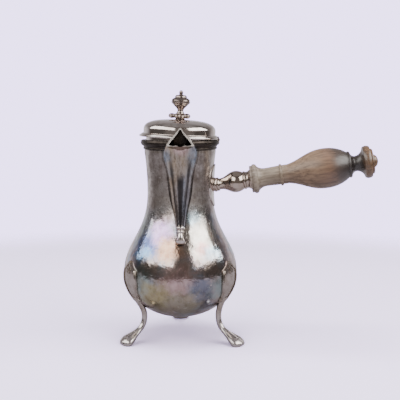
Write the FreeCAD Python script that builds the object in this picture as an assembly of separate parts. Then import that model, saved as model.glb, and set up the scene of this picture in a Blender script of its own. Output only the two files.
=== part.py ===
import FreeCAD, Part
import math
import os

from FreeCAD import Placement, Rotation, Vector

# Vessel: a raised pear-shaped pot, heights above the table and radii from its upright axis
BASE_HEIGHT = 19.5
BELLY_HEIGHT = 59.5
BELLY_RADIUS = 50.3
NECK_HEIGHT = 131.0
NECK_RADIUS = 29.0
MOUTH_SEAT_LENGTH = 10.5
MOUTH_HEIGHT = 177.0
MOUTH_RADIUS = 31.4
WALL = 1.0
BELLY_FULL_SHARE = 0.383
NECK_FULL_SHARE = 0.509

# Pierced strainer in the neck behind the spout
STRAINER_HOLE = 3.0
STRAINER_PITCH = 5.0
STRAINER_LIFT = 8.0
STRAINER_DROP = 11.6
STRAINER_ROWS = 5
STRAINER_COLUMNS = 3

# Mouldings round the mouth
COLLAR_RADIUS = 34.7
COLLAR_BEAD_HEIGHT = 4.4
COLLAR_BEAD_RISE = 0.9
COLLAR_COVE_HEIGHT = 2.0
COLLAR_COVE_DEPTH = 0.4
COLLAR_FOOT_RADIUS = 32.1
NECK_WIRE_HEIGHT = 1.6
NECK_WIRE_RADIUS = 32.5

# Spout: a hooded beak with five hollow flutes that die out towards the lip
SPOUT_BOTTOM = 103.0
SPOUT_LIP_DROP = 4.2
SPOUT_LIP_REACH = 51.5
SPOUT_APEX_RISE = 11.0
SPOUT_APEX_REACH = 42.5
SPOUT_ROOT = 26.0
SPOUT_TOE_WIDTH = 10.0
SPOUT_TOE_REACH = 37.2
SPOUT_STEM_HEIGHT = 121.0
SPOUT_STEM_WIDTH = 17.6
SPOUT_STEM_REACH = 38.6
SPOUT_WAIST_SHARE = 0.42
SPOUT_WAIST_WIDTH = 22.4
SPOUT_WAIST_REACH = 42.0
SPOUT_BREAST_SHARE = 0.71
SPOUT_BREAST_WIDTH = 26.8
SPOUT_BREAST_REACH = 46.3
SPOUT_CHEEK_DROP = 7.5
SPOUT_CHEEK_WIDTH = 30.0
SPOUT_CHEEK_REACH = 50.4
SPOUT_HOOD_DROP = 3.0
SPOUT_HOOD_WIDTH = 24.6
SPOUT_APEX_WIDTH = 1.8
SPOUT_WALL = 1.0
SPOUT_ROOF_SHARE = 1.25
FLUTE_STEM_SHARE = 0.11
FLUTE_LIP_SHARE = -0.05
WAIST_SQUARENESS = 0.3
BREAST_SQUARENESS = 0.55
CHEEK_SQUARENESS = 0.8
LIP_FACET_DROP = 3.8
LIP_FACET_DEPTH = 0.6
RIDGE_INNER_SHARE = 0.31
RIDGE_STEM_SHARE = 0.70
RIDGE_LIP_SHARE = 0.92
RIDGE_STEM_DEPTH = 0.80
RIDGE_LIP_DEPTH = 0.97
HOOD_CLEARANCE = 0.8

# Cast drop under the spout
DROP_LIFT = 2.0
DROP_LENGTH = 15.5
DROP_RADIUS = 3.6
DROP_BELL_RADIUS = 4.8
DROP_NECK_RADIUS = 1.9
DROP_RING_HEIGHT = 3.1
DROP_RING_RISE = 1.1
DROP_KNOP_HEIGHT = 3.2
DROP_KNOP_RISE = 1.0
DROP_BELL_HEIGHT = 2.3
DROP_BELL_RISE = 0.3
DROP_TILT = 24.0
DROP_REACH = 36.8

# Legs: cast cabriole legs, each with a shaped plaque on the belly and a spoon-shaped foot
LEG_LEFT_TURN = 209.0
LEG_RIGHT_TURN = 328.0
LEG_BACK_TURN = 90.0
LEG_LEFT_REACH = 60.5
LEG_RIGHT_REACH = 65.0
LEG_BACK_REACH = 71.0
PLAQUE_THICKNESS = 1.4
PLAQUE_RIM_RISE = 0.8
PLAQUE_RIM_WIDTH = 1.5
PLAQUE_TIP_HEIGHT = 73.8
PLAQUE_TIP_HOLLOW = 0.7
PLAQUE_SHOULDER_HEIGHT = 66.4
PLAQUE_SHOULDER_WIDTH = 18.6
PLAQUE_FLANK_WIDTH = 21.6
PLAQUE_WAIST_HEIGHT = 46.6
PLAQUE_WAIST_WIDTH = 15.6
PLAQUE_FOOT_HEIGHT = 36.5
PLAQUE_FOOT_WIDTH = 8.6
CURL_HEIGHT = 65.6
CURL_RADIUS = 3.1
CURL_WIDTH = 1.2
CURL_RISE = 0.8
CURL_BOSS_RADIUS = 1.0
SCROLL_RADIUS = 2.2
SCROLL_HEIGHT = 39.6
SCROLL_SPACING = 8.4
SCROLL_REACH = 43.6
KNEE_REACH = 44.6
KNEE_HEIGHT = 42.0
KNEE_WIDTH = 8.1
THIGH_WIDTH = 6.5
THIGH_HEIGHT = 33.2
THIGH_BOW = 1.0
SHANK_SHARE = 0.60
SHANK_HEIGHT = 24.5
SHANK_WIDTH = 5.4
SHANK_DEPTH = 5.0
ANKLE_SHARE = 0.648
ANKLE_HEIGHT = 13.8
INSTEP_SHARE = 0.77
INSTEP_HEIGHT = 7.8
INSTEP_WIDTH = 10.4
INSTEP_DEPTH = 6.2
FOOT_SHARE = 0.88
FOOT_HEIGHT = 2.9
FOOT_WIDTH = 16.5
FOOT_DEPTH = 9.0
TOE_SHARE = 0.965
TOE_HEIGHT = 1.0
TOE_WIDTH = 8.6
TOE_DEPTH = 4.2
CLEFT_START = 11.4
CLEFT_END = 3.2
CLEFT_RADIUS = 1.1
TOE_GROOVE_OFFSET = 1.6
TOE_GROOVE_DROP = 0.5
TOE_GROOVE_RADIUS = 0.9

# Handle: a turned wooden grip in a silver socket, rising outwards, distances along its own axis
HANDLE_DROP = 44.5
HANDLE_RISE = 9.0
HANDLE_TURN = -6.0
PLATE_THICKNESS = 1.0
PLATE_HALF_HEIGHT = 18.5
PLATE_HALF_WIDTH = 12.5
SOCKET_START = 26.0
SOCKET_RING_RADIUS = 6.4
SOCKET_RING_WIDTH = 2.6
SOCKET_RING_START = 30.2
SOCKET_NECK_RADIUS = 4.9
SOCKET_BULB_STATION = 50.0
SOCKET_BULB_RADIUS = 9.5
SOCKET_COLLAR_STATION = 56.4
SOCKET_COLLAR_RADIUS = 7.4
SOCKET_COLLAR_WIDTH = 2.4
SOCKET_LIP_RADIUS = 8.4
SOCKET_LIP_WIDTH = 1.0
SOCKET_COVE_DEPTH = 0.5
SOCKET_END = 63.0
TENON_RADIUS = 4.6
TENON_LENGTH = 19.0
TENON_CLEARANCE = 0.05
GRIP_RING_RADIUS = 11.9
GRIP_RING_WIDTH = 1.6
GRIP_RING_RISE = 0.4
GRIP_FLANGE_RADIUS = 13.0
GRIP_FLANGE_WIDTH = 4.4
GRIP_FLANGE_RISE = 1.3
GRIP_NECK_STATION = 76.5
GRIP_NECK_RADIUS = 8.0
GRIP_THROAT_RADIUS = 8.4
GRIP_BEAD_STATION = 89.8
GRIP_BEAD_RADIUS = 9.6
GRIP_BEAD_WIDTH = 2.6
GRIP_BULGE_START = 96.0
GRIP_BULGE_STATION = 128.4
GRIP_BULGE_RADIUS = 17.5
GRIP_BULGE_END = 148.0
GRIP_END_RADIUS = 11.2
GRIP_END_RING_WIDTH = 2.6
GRIP_WAIST_STATION = 154.6
GRIP_WAIST_RADIUS = 6.7
KNOB_STATION = 164.6
KNOB_RADIUS = 14.2
KNOB_THICKNESS = 6.0
KNOB_EDGE_RISE = 1.0
KNOB_STEP_RADIUS = 10.8
KNOB_STEP_WIDTH = 2.2
KNOB_STEP_RISE = 0.4
NIPPLE_RADIUS = 5.7
NIPPLE_LENGTH = 4.2
HANDLE_PIN_RADIUS = 1.1
HANDLE_PIN_STATION = 50.0

# Lid: drawn with the lid shut, then swung open to the slightly raised pose
LID_GAP = 0.2
LID_AJAR = 2.6
LID_SHIFT = 0.8
LID_RADIUS = 31.6
LID_WALL = 1.0
LID_SIDE_HEIGHT = 6.4
LID_SHOULDER = 7.6
LID_CROWN_HEIGHT = 15.8
LID_CROWN_REACH = 20.0
FLANGE_RADIUS = 35.2
FLANGE_STEP_RADIUS = 34.0
FLANGE_LOWER = 1.6
FLANGE_UPPER = 1.6
BEZEL_CLEARANCE = 1.3
BEZEL_WALL = 0.9
BEZEL_DEPTH = 5.0

# Hinge on the handle side of the rim
HINGE_REACH = 33.2
KNUCKLE_RADIUS = 1.5
KNUCKLE_WIDTH = 3.0
KNUCKLE_COUNT = 5
KNUCKLE_GAP = 0.15
HINGE_PIN_RADIUS = 0.75
HINGE_PIN_HEAD = 1.25
HINGE_PIN_HEAD_WIDTH = 0.6
HINGE_FIT = 0.05
HINGE_CLEARANCE = 0.3
LEAF_THICKNESS = 1.2
LEAF_HALF_LENGTH = 11.0

# Finial: a lobed rosette under a turned knob, held by a nut inside the lid
ROSETTE_FOOT_RADIUS = 4.6
ROSETTE_FOOT_HEIGHT = 0.8
ROSETTE_NECK_RADIUS = 4.0
ROSETTE_NECK_HOLLOW = 0.3
ROSETTE_COLLAR_RADIUS = 5.6
ROSETTE_COLLAR_HEIGHT = 1.3
ROSETTE_HEIGHT = 5.2
ROSETTE_DISC_RADIUS = 6.6
ROSETTE_DISC_RISE = 0.5
PETAL_COUNT = 5
PETAL_RADIUS = 3.1
PETAL_THICKNESS = 4.4
PETAL_REACH = 7.2
PETAL_HEIGHT = 3.1
PETAL_TURN = 180.0
STUD_RADIUS = 1.3
STUD_REACH = 4.2
STEM_RADIUS = 2.65
STEM_HEIGHT = 7.6
KNOP_FOOT_RADIUS = 3.6
KNOP_RADIUS = 8.6
KNOP_HEIGHT = 16.0
KNOP_HALF_THICKNESS = 2.9
KNOP_UNDER_RADIUS = 6.6
KNOP_EDGE_RISE = 0.5
KNOP_GROOVE = 0.4
CAP_RADIUS = 5.3
CAP_THICKNESS = 2.3
CAP_SLOPE = 1.2
CAP_RISE = 0.35
TIP_RADIUS = 1.8
TIP_NECK_RADIUS = 1.5
FINIAL_HEIGHT = 25.4
NUT_WIDTH = 6.0
NUT_THICKNESS = 2.4

# Handles of the curved stretches, as shares of the stretch's own width and height
ROUND = 0.5523
UPRIGHT = (0.0, 0.45)
SOFT = (0.0, 0.3)
LEVEL = (0.6, 0.1)
SLANT = (0.5, 0.2)
RISING = (0.3, 0.4)
ROUND_UP = (0.0, ROUND)
ROUND_OUT = (ROUND, 0.0)
FLARE_START = (0.0, 1 / 3)
FLARE_END = (2 / 3, 1 / 3)

BEYOND = MOUTH_HEIGHT + BELLY_RADIUS
CENTRE = Vector(0, 0, 0)
ACROSS = Vector(1, 0, 0)
BACKWARD = Vector(0, 1, 0)
UP = Vector(0, 0, 1)
COLLAR_FOOT = MOUTH_HEIGHT - COLLAR_BEAD_HEIGHT - COLLAR_COVE_HEIGHT
HINGE_HEIGHT = MOUTH_HEIGHT + LID_GAP / 2
LID_FOOT = MOUTH_HEIGHT + LID_GAP
CROWN_TOP = LID_FOOT + LID_CROWN_HEIGHT
SEAT_HEIGHT = MOUTH_HEIGHT - MOUTH_SEAT_LENGTH
HANDLE_AXIS_HEIGHT = MOUTH_HEIGHT - HANDLE_DROP
SPOUT_LIP_HEIGHT = MOUTH_HEIGHT - SPOUT_LIP_DROP
SPOUT_APEX_HEIGHT = MOUTH_HEIGHT + SPOUT_APEX_RISE
SPOUT_HOOD_HEIGHT = MOUTH_HEIGHT - SPOUT_HOOD_DROP
SPOUT_CHEEK_HEIGHT = MOUTH_HEIGHT - SPOUT_CHEEK_DROP
SPOUT_WAIST_HEIGHT = SPOUT_STEM_HEIGHT + (SPOUT_CHEEK_HEIGHT - SPOUT_STEM_HEIGHT) * SPOUT_WAIST_SHARE
SPOUT_BREAST_HEIGHT = SPOUT_STEM_HEIGHT + (SPOUT_CHEEK_HEIGHT - SPOUT_STEM_HEIGHT) * SPOUT_BREAST_SHARE
DROP_HEIGHT = SPOUT_BOTTOM + DROP_LIFT
STRAINER_START = SPOUT_STEM_HEIGHT + STRAINER_LIFT
STRAINER_RISE = (COLLAR_FOOT - STRAINER_DROP - STRAINER_START) / (STRAINER_ROWS - 1)


class Outline:
    """Half-outline of a turned or raised piece, as radius and height, walked upwards."""

    def __init__(self, radius, height):
        self.start = Vector(radius, 0, height)
        self.end = self.start
        self.edges = []

    def line(self, radius, height):
        target = Vector(radius, 0, height)
        self.edges.append(Part.LineSegment(self.end, target).toShape())
        self.end = target
        return self

    def bead(self, radius, height, rise):
        """A round bead out to the given rise, or a cove where the rise is negative."""
        target = Vector(radius, 0, height)
        chord = target - self.end
        outward = Vector(chord.z, 0, -chord.x).normalize()
        middle = (self.end + target) * 0.5 + outward * rise
        self.edges.append(Part.Arc(self.end, middle, target).toShape())
        self.end = target
        return self

    def curve(self, radius, height, leave, arrive):
        """A cubic curve, its two handles given as shares of its own width and height."""
        target = Vector(radius, 0, height)
        span = target - self.end
        first = self.end + Vector(span.x * leave[0], 0, span.z * leave[1])
        second = target - Vector(span.x * arrive[0], 0, span.z * arrive[1])
        bezier = Part.BezierCurve()
        bezier.setPoles([self.end, first, second, target])
        self.edges.append(bezier.toShape())
        self.end = target
        return self

    def spin(self):
        """The solid of revolution, closed straight back to where the outline began."""
        self.line(self.start.x, self.start.z)
        return Part.Face(Part.Wire(self.edges)).revolve(CENTRE, UP, 360)


def cylinder(radius, length, base, direction):
    """A round bar from its base along a direction."""
    return Part.makeCylinder(radius, length, base, direction)


def block(low, high):
    """A box between two corners."""
    size = high - low
    return Part.makeBox(size.x, size.y, size.z, low)


def oval(centre, across, deep):
    """A closed oval wire about a centre, from its two half-axes."""
    corners = [across, deep, across * -1, deep * -1]
    edges = []
    for index, first in enumerate(corners):
        second = corners[(index + 1) % len(corners)]
        bezier = Part.BezierCurve()
        bezier.setPoles([centre + first, centre + first + second * ROUND,
                         centre + second + first * ROUND, centre + second])
        edges.append(bezier.toShape())
    return Part.Wire(edges)


def only_solid(shape):
    """The largest solid of a shape."""
    return max(shape.Solids, key=lambda solid: solid.Volume)


def vessel_solid(extra, top):
    """The pot as a full solid, grown or shrunk in radius, up to a given height."""
    outline = Outline(0, BASE_HEIGHT - extra)
    outline.curve(BELLY_RADIUS + extra, BELLY_HEIGHT, ROUND_OUT, ROUND_UP)
    outline.curve(NECK_RADIUS + extra, NECK_HEIGHT, (0, BELLY_FULL_SHARE), (0, NECK_FULL_SHARE))
    outline.curve(MOUTH_RADIUS + extra, SEAT_HEIGHT, FLARE_START, FLARE_END)
    outline.line(MOUTH_RADIUS + extra, top)
    outline.line(0, top)
    return outline.spin()


def vessel():
    """Raised pot, open at the mouth and pierced behind the spout."""
    shell = vessel_solid(0, MOUTH_HEIGHT).cut(vessel_solid(-WALL, MOUTH_HEIGHT + WALL))
    holes = []
    for row in range(STRAINER_ROWS):
        height = STRAINER_START + row * STRAINER_RISE
        for column in range(STRAINER_COLUMNS):
            side = (column - (STRAINER_COLUMNS - 1) / 2) * STRAINER_PITCH
            start = Vector(side, -BELLY_RADIUS, height)
            holes.append(cylinder(STRAINER_HOLE / 2, BELLY_RADIUS - NECK_RADIUS / 2, start, BACKWARD))
    return only_solid(shell.cut(holes))


def collar_ring():
    """Whole mouth moulding: a cove under a broad bead."""
    bead_start = COLLAR_FOOT + COLLAR_COVE_HEIGHT
    bead_foot = COLLAR_RADIUS - COLLAR_BEAD_RISE
    outline = Outline(MOUTH_RADIUS, COLLAR_FOOT)
    outline.line(COLLAR_FOOT_RADIUS, COLLAR_FOOT)
    outline.bead(bead_foot, bead_start, -COLLAR_COVE_DEPTH)
    outline.bead(bead_foot, MOUTH_HEIGHT, COLLAR_BEAD_RISE)
    outline.line(MOUTH_RADIUS, MOUTH_HEIGHT)
    return outline.spin()


def hinge_seat():
    """Room cut in the mouth moulding for the hinge barrel and its leaf."""
    span = hinge_length() / 2 + HINGE_PIN_HEAD_WIDTH + HINGE_CLEARANCE
    floor = HINGE_HEIGHT - KNUCKLE_RADIUS - HINGE_CLEARANCE - LEAF_THICKNESS
    low = Vector(MOUTH_RADIUS / 2, -span, floor)
    high = Vector(BEYOND, span, BEYOND)
    return block(low, high)


def mouth_moulding():
    """Moulding round the mouth, notched for the hinge."""
    return only_solid(collar_ring().cut(hinge_seat()))


def neck_wire():
    """Plain half-round wire under the moulding."""
    rise = NECK_WIRE_HEIGHT / 4
    outline = Outline(MOUTH_RADIUS, COLLAR_FOOT - NECK_WIRE_HEIGHT)
    outline.line(NECK_WIRE_RADIUS - rise, COLLAR_FOOT - NECK_WIRE_HEIGHT)
    outline.bead(NECK_WIRE_RADIUS - rise, COLLAR_FOOT, rise)
    outline.line(MOUTH_RADIUS, COLLAR_FOOT)
    return only_solid(outline.spin())


def between(low, high, share):
    """The value a share of the way from low to high."""
    return low + (high - low) * share


def spout_wire(height, half_width, reach, square):
    """Level section of the beak: five flutes between ridges, squarer and flatter towards the lip."""
    depth = reach - SPOUT_ROOT
    outer = between(RIDGE_STEM_SHARE, RIDGE_LIP_SHARE, square)
    corner = between(RIDGE_STEM_DEPTH, RIDGE_LIP_DEPTH, square)
    hollow = between(FLUTE_STEM_SHARE, FLUTE_LIP_SHARE, square) * half_width
    ridges = [(1, 0), (outer, corner), (RIDGE_INNER_SHARE, 1)]
    right = [Vector(half_width * side, -SPOUT_ROOT - depth * front, height) for side, front in ridges]
    left = [Vector(-point.x, point.y, height) for point in right]
    points = left + right[::-1]
    edges = []
    for first, second in zip(points, points[1:]):
        chord = second - first
        outward = Vector(chord.y, -chord.x, 0).normalize()
        middle = (first + second) * 0.5 - outward * hollow
        edges.append(Part.Arc(first, middle, second).toShape())
    edges.append(Part.LineSegment(points[-1], points[0]).toShape())
    return Part.Wire(edges)


def spout_form(inset):
    """The beak as a full solid, shrunk all round by an inset."""
    def section(height, width, reach, square):
        return spout_wire(height, width / 2 - inset, reach - inset, square)

    roof = SPOUT_APEX_HEIGHT - inset * SPOUT_ROOF_SHARE
    wires = [
        section(SPOUT_BOTTOM + inset, SPOUT_TOE_WIDTH, SPOUT_TOE_REACH, 0),
        section(SPOUT_STEM_HEIGHT, SPOUT_STEM_WIDTH, SPOUT_STEM_REACH, 0),
        section(SPOUT_WAIST_HEIGHT, SPOUT_WAIST_WIDTH, SPOUT_WAIST_REACH, WAIST_SQUARENESS),
        section(SPOUT_BREAST_HEIGHT, SPOUT_BREAST_WIDTH, SPOUT_BREAST_REACH, BREAST_SQUARENESS),
        section(SPOUT_CHEEK_HEIGHT, SPOUT_CHEEK_WIDTH, SPOUT_CHEEK_REACH, CHEEK_SQUARENESS),
        section(SPOUT_HOOD_HEIGHT - inset / 2, SPOUT_HOOD_WIDTH, SPOUT_LIP_REACH, 1),
        spout_wire(roof, SPOUT_APEX_WIDTH / 2, SPOUT_LIP_REACH - inset, 1),
    ]
    return Part.makeLoft(wires, True, False)


def in_front_of(lower, upper):
    """Everything in front of the plane through two level lines, given as reach and height."""
    low = Vector(-BEYOND / 2, -lower[0], lower[1])
    high = Vector(-BEYOND / 2, -upper[0], upper[1])
    forward = BACKWARD * -BEYOND
    corners = [low, high, high + forward, low + forward, low]
    return Part.Face(Part.makePolygon(corners)).extrude(ACROSS * BEYOND)


def spout_front():
    """Everything in front of the slanting mouth of the beak."""
    rise = SPOUT_APEX_HEIGHT - SPOUT_LIP_HEIGHT
    back = SPOUT_LIP_REACH - SPOUT_APEX_REACH
    lower = (SPOUT_LIP_REACH + back, SPOUT_LIP_HEIGHT - rise)
    upper = (SPOUT_APEX_REACH - back, SPOUT_APEX_HEIGHT + rise)
    return in_front_of(lower, upper)


def lip_facet():
    """The flat filed on the front of the lip."""
    reach = SPOUT_LIP_REACH - LIP_FACET_DEPTH
    return in_front_of((reach, SPOUT_LIP_HEIGHT - LIP_FACET_DROP), (reach, SPOUT_APEX_HEIGHT))


def spout():
    """Hooded fluted beak, soldered to the neck and the mouth moulding."""
    backing = FLANGE_RADIUS + HOOD_CLEARANCE
    back_foot = Vector(0, 0, COLLAR_FOOT - NECK_WIRE_HEIGHT - SPOUT_WALL)
    hollow = spout_form(SPOUT_WALL).cut(cylinder(backing + SPOUT_WALL, BEYOND, back_foot, UP))
    shape = spout_form(0).cut([hollow, spout_front(), lip_facet()])
    shape = shape.cut([vessel_solid(0, MOUTH_HEIGHT), collar_ring(), neck_wire()])
    lid_room = Vector(0, 0, MOUTH_HEIGHT - COLLAR_BEAD_HEIGHT / 2)
    return only_solid(shape.cut(cylinder(backing, BEYOND, lid_room, UP)))


def spout_drop():
    """Cast drop: a ring, a knop, a slim waist and a bell, lying down the belly from the beak."""
    bell_top = DROP_BELL_HEIGHT - DROP_LENGTH
    knop_top = -DROP_RING_HEIGHT
    knop_foot = knop_top - DROP_KNOP_HEIGHT
    ring_foot = DROP_RADIUS - DROP_RING_RISE
    outline = Outline(0, -DROP_LENGTH)
    outline.line(DROP_BELL_RADIUS / 2, -DROP_LENGTH)
    outline.bead(DROP_BELL_RADIUS, bell_top, DROP_BELL_RISE)
    outline.curve(DROP_NECK_RADIUS, knop_foot, LEVEL, UPRIGHT)
    outline.bead(DROP_NECK_RADIUS, knop_top, DROP_KNOP_RISE)
    outline.line(ring_foot, knop_top)
    outline.bead(ring_foot, 0, DROP_RING_RISE)
    outline.line(0, 0)
    shape = outline.spin()
    shape.rotate(CENTRE, ACROSS, -DROP_TILT)
    shape.translate(Vector(0, -DROP_REACH, DROP_HEIGHT))
    return only_solid(shape.cut([vessel_solid(0, MOUTH_HEIGHT), spout_form(0)]))


def plaque_face():
    """Outline of the plaque: a peaked top, round flanks and a tapering foot."""
    tip = Vector(0, 0, PLAQUE_TIP_HEIGHT)
    edges = []
    feet = []
    for side in (0.5, -0.5):
        shoulder = Vector(0, side * PLAQUE_SHOULDER_WIDTH, PLAQUE_SHOULDER_HEIGHT)
        waist = Vector(0, side * PLAQUE_WAIST_WIDTH, PLAQUE_WAIST_HEIGHT)
        foot = Vector(0, side * PLAQUE_FOOT_WIDTH, PLAQUE_FOOT_HEIGHT)
        hollow = (tip + shoulder) * 0.5 - UP * PLAQUE_TIP_HOLLOW
        flank = Vector(0, side * PLAQUE_FLANK_WIDTH, (shoulder.z + waist.z) / 2)
        edges.append(Part.Arc(tip, hollow, shoulder).toShape())
        edges.append(Part.Arc(shoulder, flank, waist).toShape())
        edges.append(Part.LineSegment(waist, foot).toShape())
        feet.append(foot)
    edges.append(Part.LineSegment(*feet).toShape())
    return Part.Face(Part.Wire(Part.sortEdges(edges)[0]))


def on_belly(face, thickness):
    """A flat outline projected outwards and raised above the belly by a thickness."""
    return face.extrude(ACROSS * BEYOND).common(vessel_solid(thickness, MOUTH_HEIGHT))


def disc(radius, height):
    """A flat disc facing outwards at a height above the table."""
    edge = Part.Circle(Vector(0, 0, height), ACROSS, radius).toShape()
    return Part.Face(Part.Wire(edge))


def plaque():
    """Plaque that follows the belly, with a raised rim and a curl under its peak."""
    face = plaque_face()
    field = face.makeOffset2D(-PLAQUE_RIM_WIDTH)
    rim = on_belly(face.cut(field), PLAQUE_THICKNESS + PLAQUE_RIM_RISE)
    curl = disc(CURL_RADIUS, CURL_HEIGHT).cut(disc(CURL_RADIUS - CURL_WIDTH, CURL_HEIGHT))
    relief = [on_belly(curl, PLAQUE_THICKNESS + CURL_RISE),
              on_belly(disc(CURL_BOSS_RADIUS, CURL_HEIGHT), PLAQUE_THICKNESS + CURL_RISE)]
    return on_belly(face, PLAQUE_THICKNESS).fuse([rim] + relief)


def leg_sections(path):
    """Oval sections square to a path of reach, height, width and depth."""
    places = [Vector(reach, 0, height) for reach, height, width, depth in path]
    wires = []
    for index, (reach, height, width, depth) in enumerate(path):
        before = places[max(index - 1, 0)]
        after = places[min(index + 1, len(places) - 1)]
        along = (after - before).normalize()
        deep = Vector(-along.z, 0, along.x) * (depth / 2)
        wires.append(oval(places[index], BACKWARD * (width / 2), deep))
    return wires


def leg_stem(reach):
    """The tapering stem from the knee down to the toe, as splayed as its reach says."""
    shank = reach * SHANK_SHARE
    thigh = (KNEE_REACH + shank) / 2 - THIGH_BOW
    path = [
        (KNEE_REACH, KNEE_HEIGHT, KNEE_WIDTH, SHANK_DEPTH),
        (thigh, THIGH_HEIGHT, THIGH_WIDTH, SHANK_DEPTH),
        (shank, SHANK_HEIGHT, SHANK_WIDTH, SHANK_DEPTH),
        (reach * ANKLE_SHARE, ANKLE_HEIGHT, SHANK_WIDTH, SHANK_DEPTH),
        (reach * INSTEP_SHARE, INSTEP_HEIGHT, INSTEP_WIDTH, INSTEP_DEPTH),
        (reach * FOOT_SHARE, FOOT_HEIGHT, FOOT_WIDTH, FOOT_DEPTH),
        (reach * TOE_SHARE, TOE_HEIGHT, TOE_WIDTH, TOE_DEPTH),
    ]
    return Part.makeLoft(leg_sections(path), True, False)


def foot_creases(reach):
    """The cleft along the foot and the groove behind its toe."""
    start = Vector(reach * INSTEP_SHARE, 0, CLEFT_START)
    along = Vector(reach * (1 - INSTEP_SHARE), 0, CLEFT_END - CLEFT_START)
    cleft = cylinder(CLEFT_RADIUS, along.Length + CLEFT_START, start, along)
    groove_height = FOOT_HEIGHT + FOOT_DEPTH / 2 - TOE_GROOVE_DROP
    groove_start = Vector(reach * FOOT_SHARE + TOE_GROOVE_OFFSET, -FOOT_WIDTH, groove_height)
    groove = cylinder(TOE_GROOVE_RADIUS, FOOT_WIDTH * 2, groove_start, BACKWARD)
    return [cleft, groove]


def leg(turn, reach):
    """One cast leg with its plaque and scrolls, turned about the pot to its place."""
    scrolls = []
    for side in (0.5, -0.5):
        place = Vector(SCROLL_REACH, side * SCROLL_SPACING, SCROLL_HEIGHT)
        scrolls.append(Part.makeSphere(SCROLL_RADIUS, place))
    shape = plaque().fuse([leg_stem(reach)] + scrolls)
    below = block(Vector(-BEYOND, -BEYOND, -BEYOND), Vector(BEYOND, BEYOND, 0))
    shape = only_solid(shape.cut([vessel_solid(0, MOUTH_HEIGHT), below] + foot_creases(reach)))
    shape.rotate(CENTRE, UP, turn)
    return shape


def along_handle(shape):
    """Lays a piece drawn upright along the rising handle axis."""
    rise = math.radians(HANDLE_RISE)
    turn = math.radians(HANDLE_TURN)
    flat = math.cos(rise)
    direction = Vector(flat * math.cos(turn), flat * math.sin(turn), math.sin(rise))
    laid = shape.copy()
    laid.Placement = Placement(Vector(0, 0, HANDLE_AXIS_HEIGHT), Rotation(UP, direction))
    return laid


def socket_plate():
    """Oval reinforcing plate between the neck and the socket."""
    centre = Vector(0, 0, HANDLE_AXIS_HEIGHT + NECK_RADIUS * math.tan(math.radians(HANDLE_RISE)))
    rim = oval(centre, BACKWARD * PLATE_HALF_WIDTH, UP * PLATE_HALF_HEIGHT)
    prism = Part.Face(rim).extrude(ACROSS * BEYOND)
    prism.rotate(CENTRE, UP, HANDLE_TURN)
    shell = vessel_solid(PLATE_THICKNESS, MOUTH_HEIGHT).cut(vessel_solid(0, MOUTH_HEIGHT))
    return only_solid(prism.common(shell))


def handle_pin_bar(radius):
    """Bar across the socket, square to the handle."""
    start = Vector(-SOCKET_BULB_RADIUS * 2, 0, HANDLE_PIN_STATION)
    return cylinder(radius, SOCKET_BULB_RADIUS * 4, start, ACROSS)


def socket_form():
    """Turned outside of the handle socket."""
    ring_rise = SOCKET_RING_WIDTH / 4
    ring_foot = SOCKET_RING_RADIUS - ring_rise
    second = SOCKET_RING_START + SOCKET_RING_WIDTH
    collar_end = SOCKET_COLLAR_STATION + SOCKET_COLLAR_WIDTH
    outline = Outline(0, SOCKET_START)
    outline.line(ring_foot, SOCKET_START)
    outline.line(ring_foot, SOCKET_RING_START)
    outline.bead(ring_foot, second, ring_rise)
    outline.bead(SOCKET_NECK_RADIUS, second + SOCKET_RING_WIDTH, ring_rise)
    outline.curve(SOCKET_BULB_RADIUS, SOCKET_BULB_STATION, UPRIGHT, UPRIGHT)
    outline.curve(SOCKET_COLLAR_RADIUS, SOCKET_COLLAR_STATION, SOFT, SLANT)
    outline.bead(SOCKET_COLLAR_RADIUS, collar_end, SOCKET_COLLAR_WIDTH / 4)
    outline.bead(SOCKET_LIP_RADIUS, SOCKET_END - SOCKET_LIP_WIDTH, -SOCKET_COVE_DEPTH)
    outline.line(SOCKET_LIP_RADIUS, SOCKET_END)
    outline.line(0, SOCKET_END)
    return outline.spin()


def handle_socket():
    """Silver socket, bored for the tenon of the grip."""
    bore_start = Vector(0, 0, SOCKET_END - TENON_LENGTH - TENON_CLEARANCE)
    bore = cylinder(TENON_RADIUS + TENON_CLEARANCE, BEYOND, bore_start, UP)
    turned = socket_form().cut([bore, handle_pin_bar(HANDLE_PIN_RADIUS)])
    return only_solid(along_handle(turned).cut(vessel_solid(PLATE_THICKNESS, MOUTH_HEIGHT)))


def grip_neck(outline):
    """Ring, flange and slim neck of the grip, up to the bead before its swell."""
    ring_foot = GRIP_RING_RADIUS - GRIP_RING_RISE
    flange_start = SOCKET_END + GRIP_RING_WIDTH
    flange_end = flange_start + GRIP_FLANGE_WIDTH
    bead_start = GRIP_BEAD_STATION - GRIP_BEAD_WIDTH / 2
    bead_end = GRIP_BEAD_STATION + GRIP_BEAD_WIDTH / 2
    outline.line(ring_foot, SOCKET_END)
    outline.bead(ring_foot, flange_start, GRIP_RING_RISE)
    outline.bead(GRIP_FLANGE_RADIUS - GRIP_FLANGE_RISE, flange_end, GRIP_FLANGE_RISE)
    outline.curve(GRIP_NECK_RADIUS, GRIP_NECK_STATION, LEVEL, UPRIGHT)
    outline.curve(GRIP_THROAT_RADIUS, bead_start, SOFT, SOFT)
    outline.bead(GRIP_THROAT_RADIUS, bead_end, GRIP_BEAD_RADIUS - GRIP_THROAT_RADIUS)
    outline.line(GRIP_THROAT_RADIUS, GRIP_BULGE_START)


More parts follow.
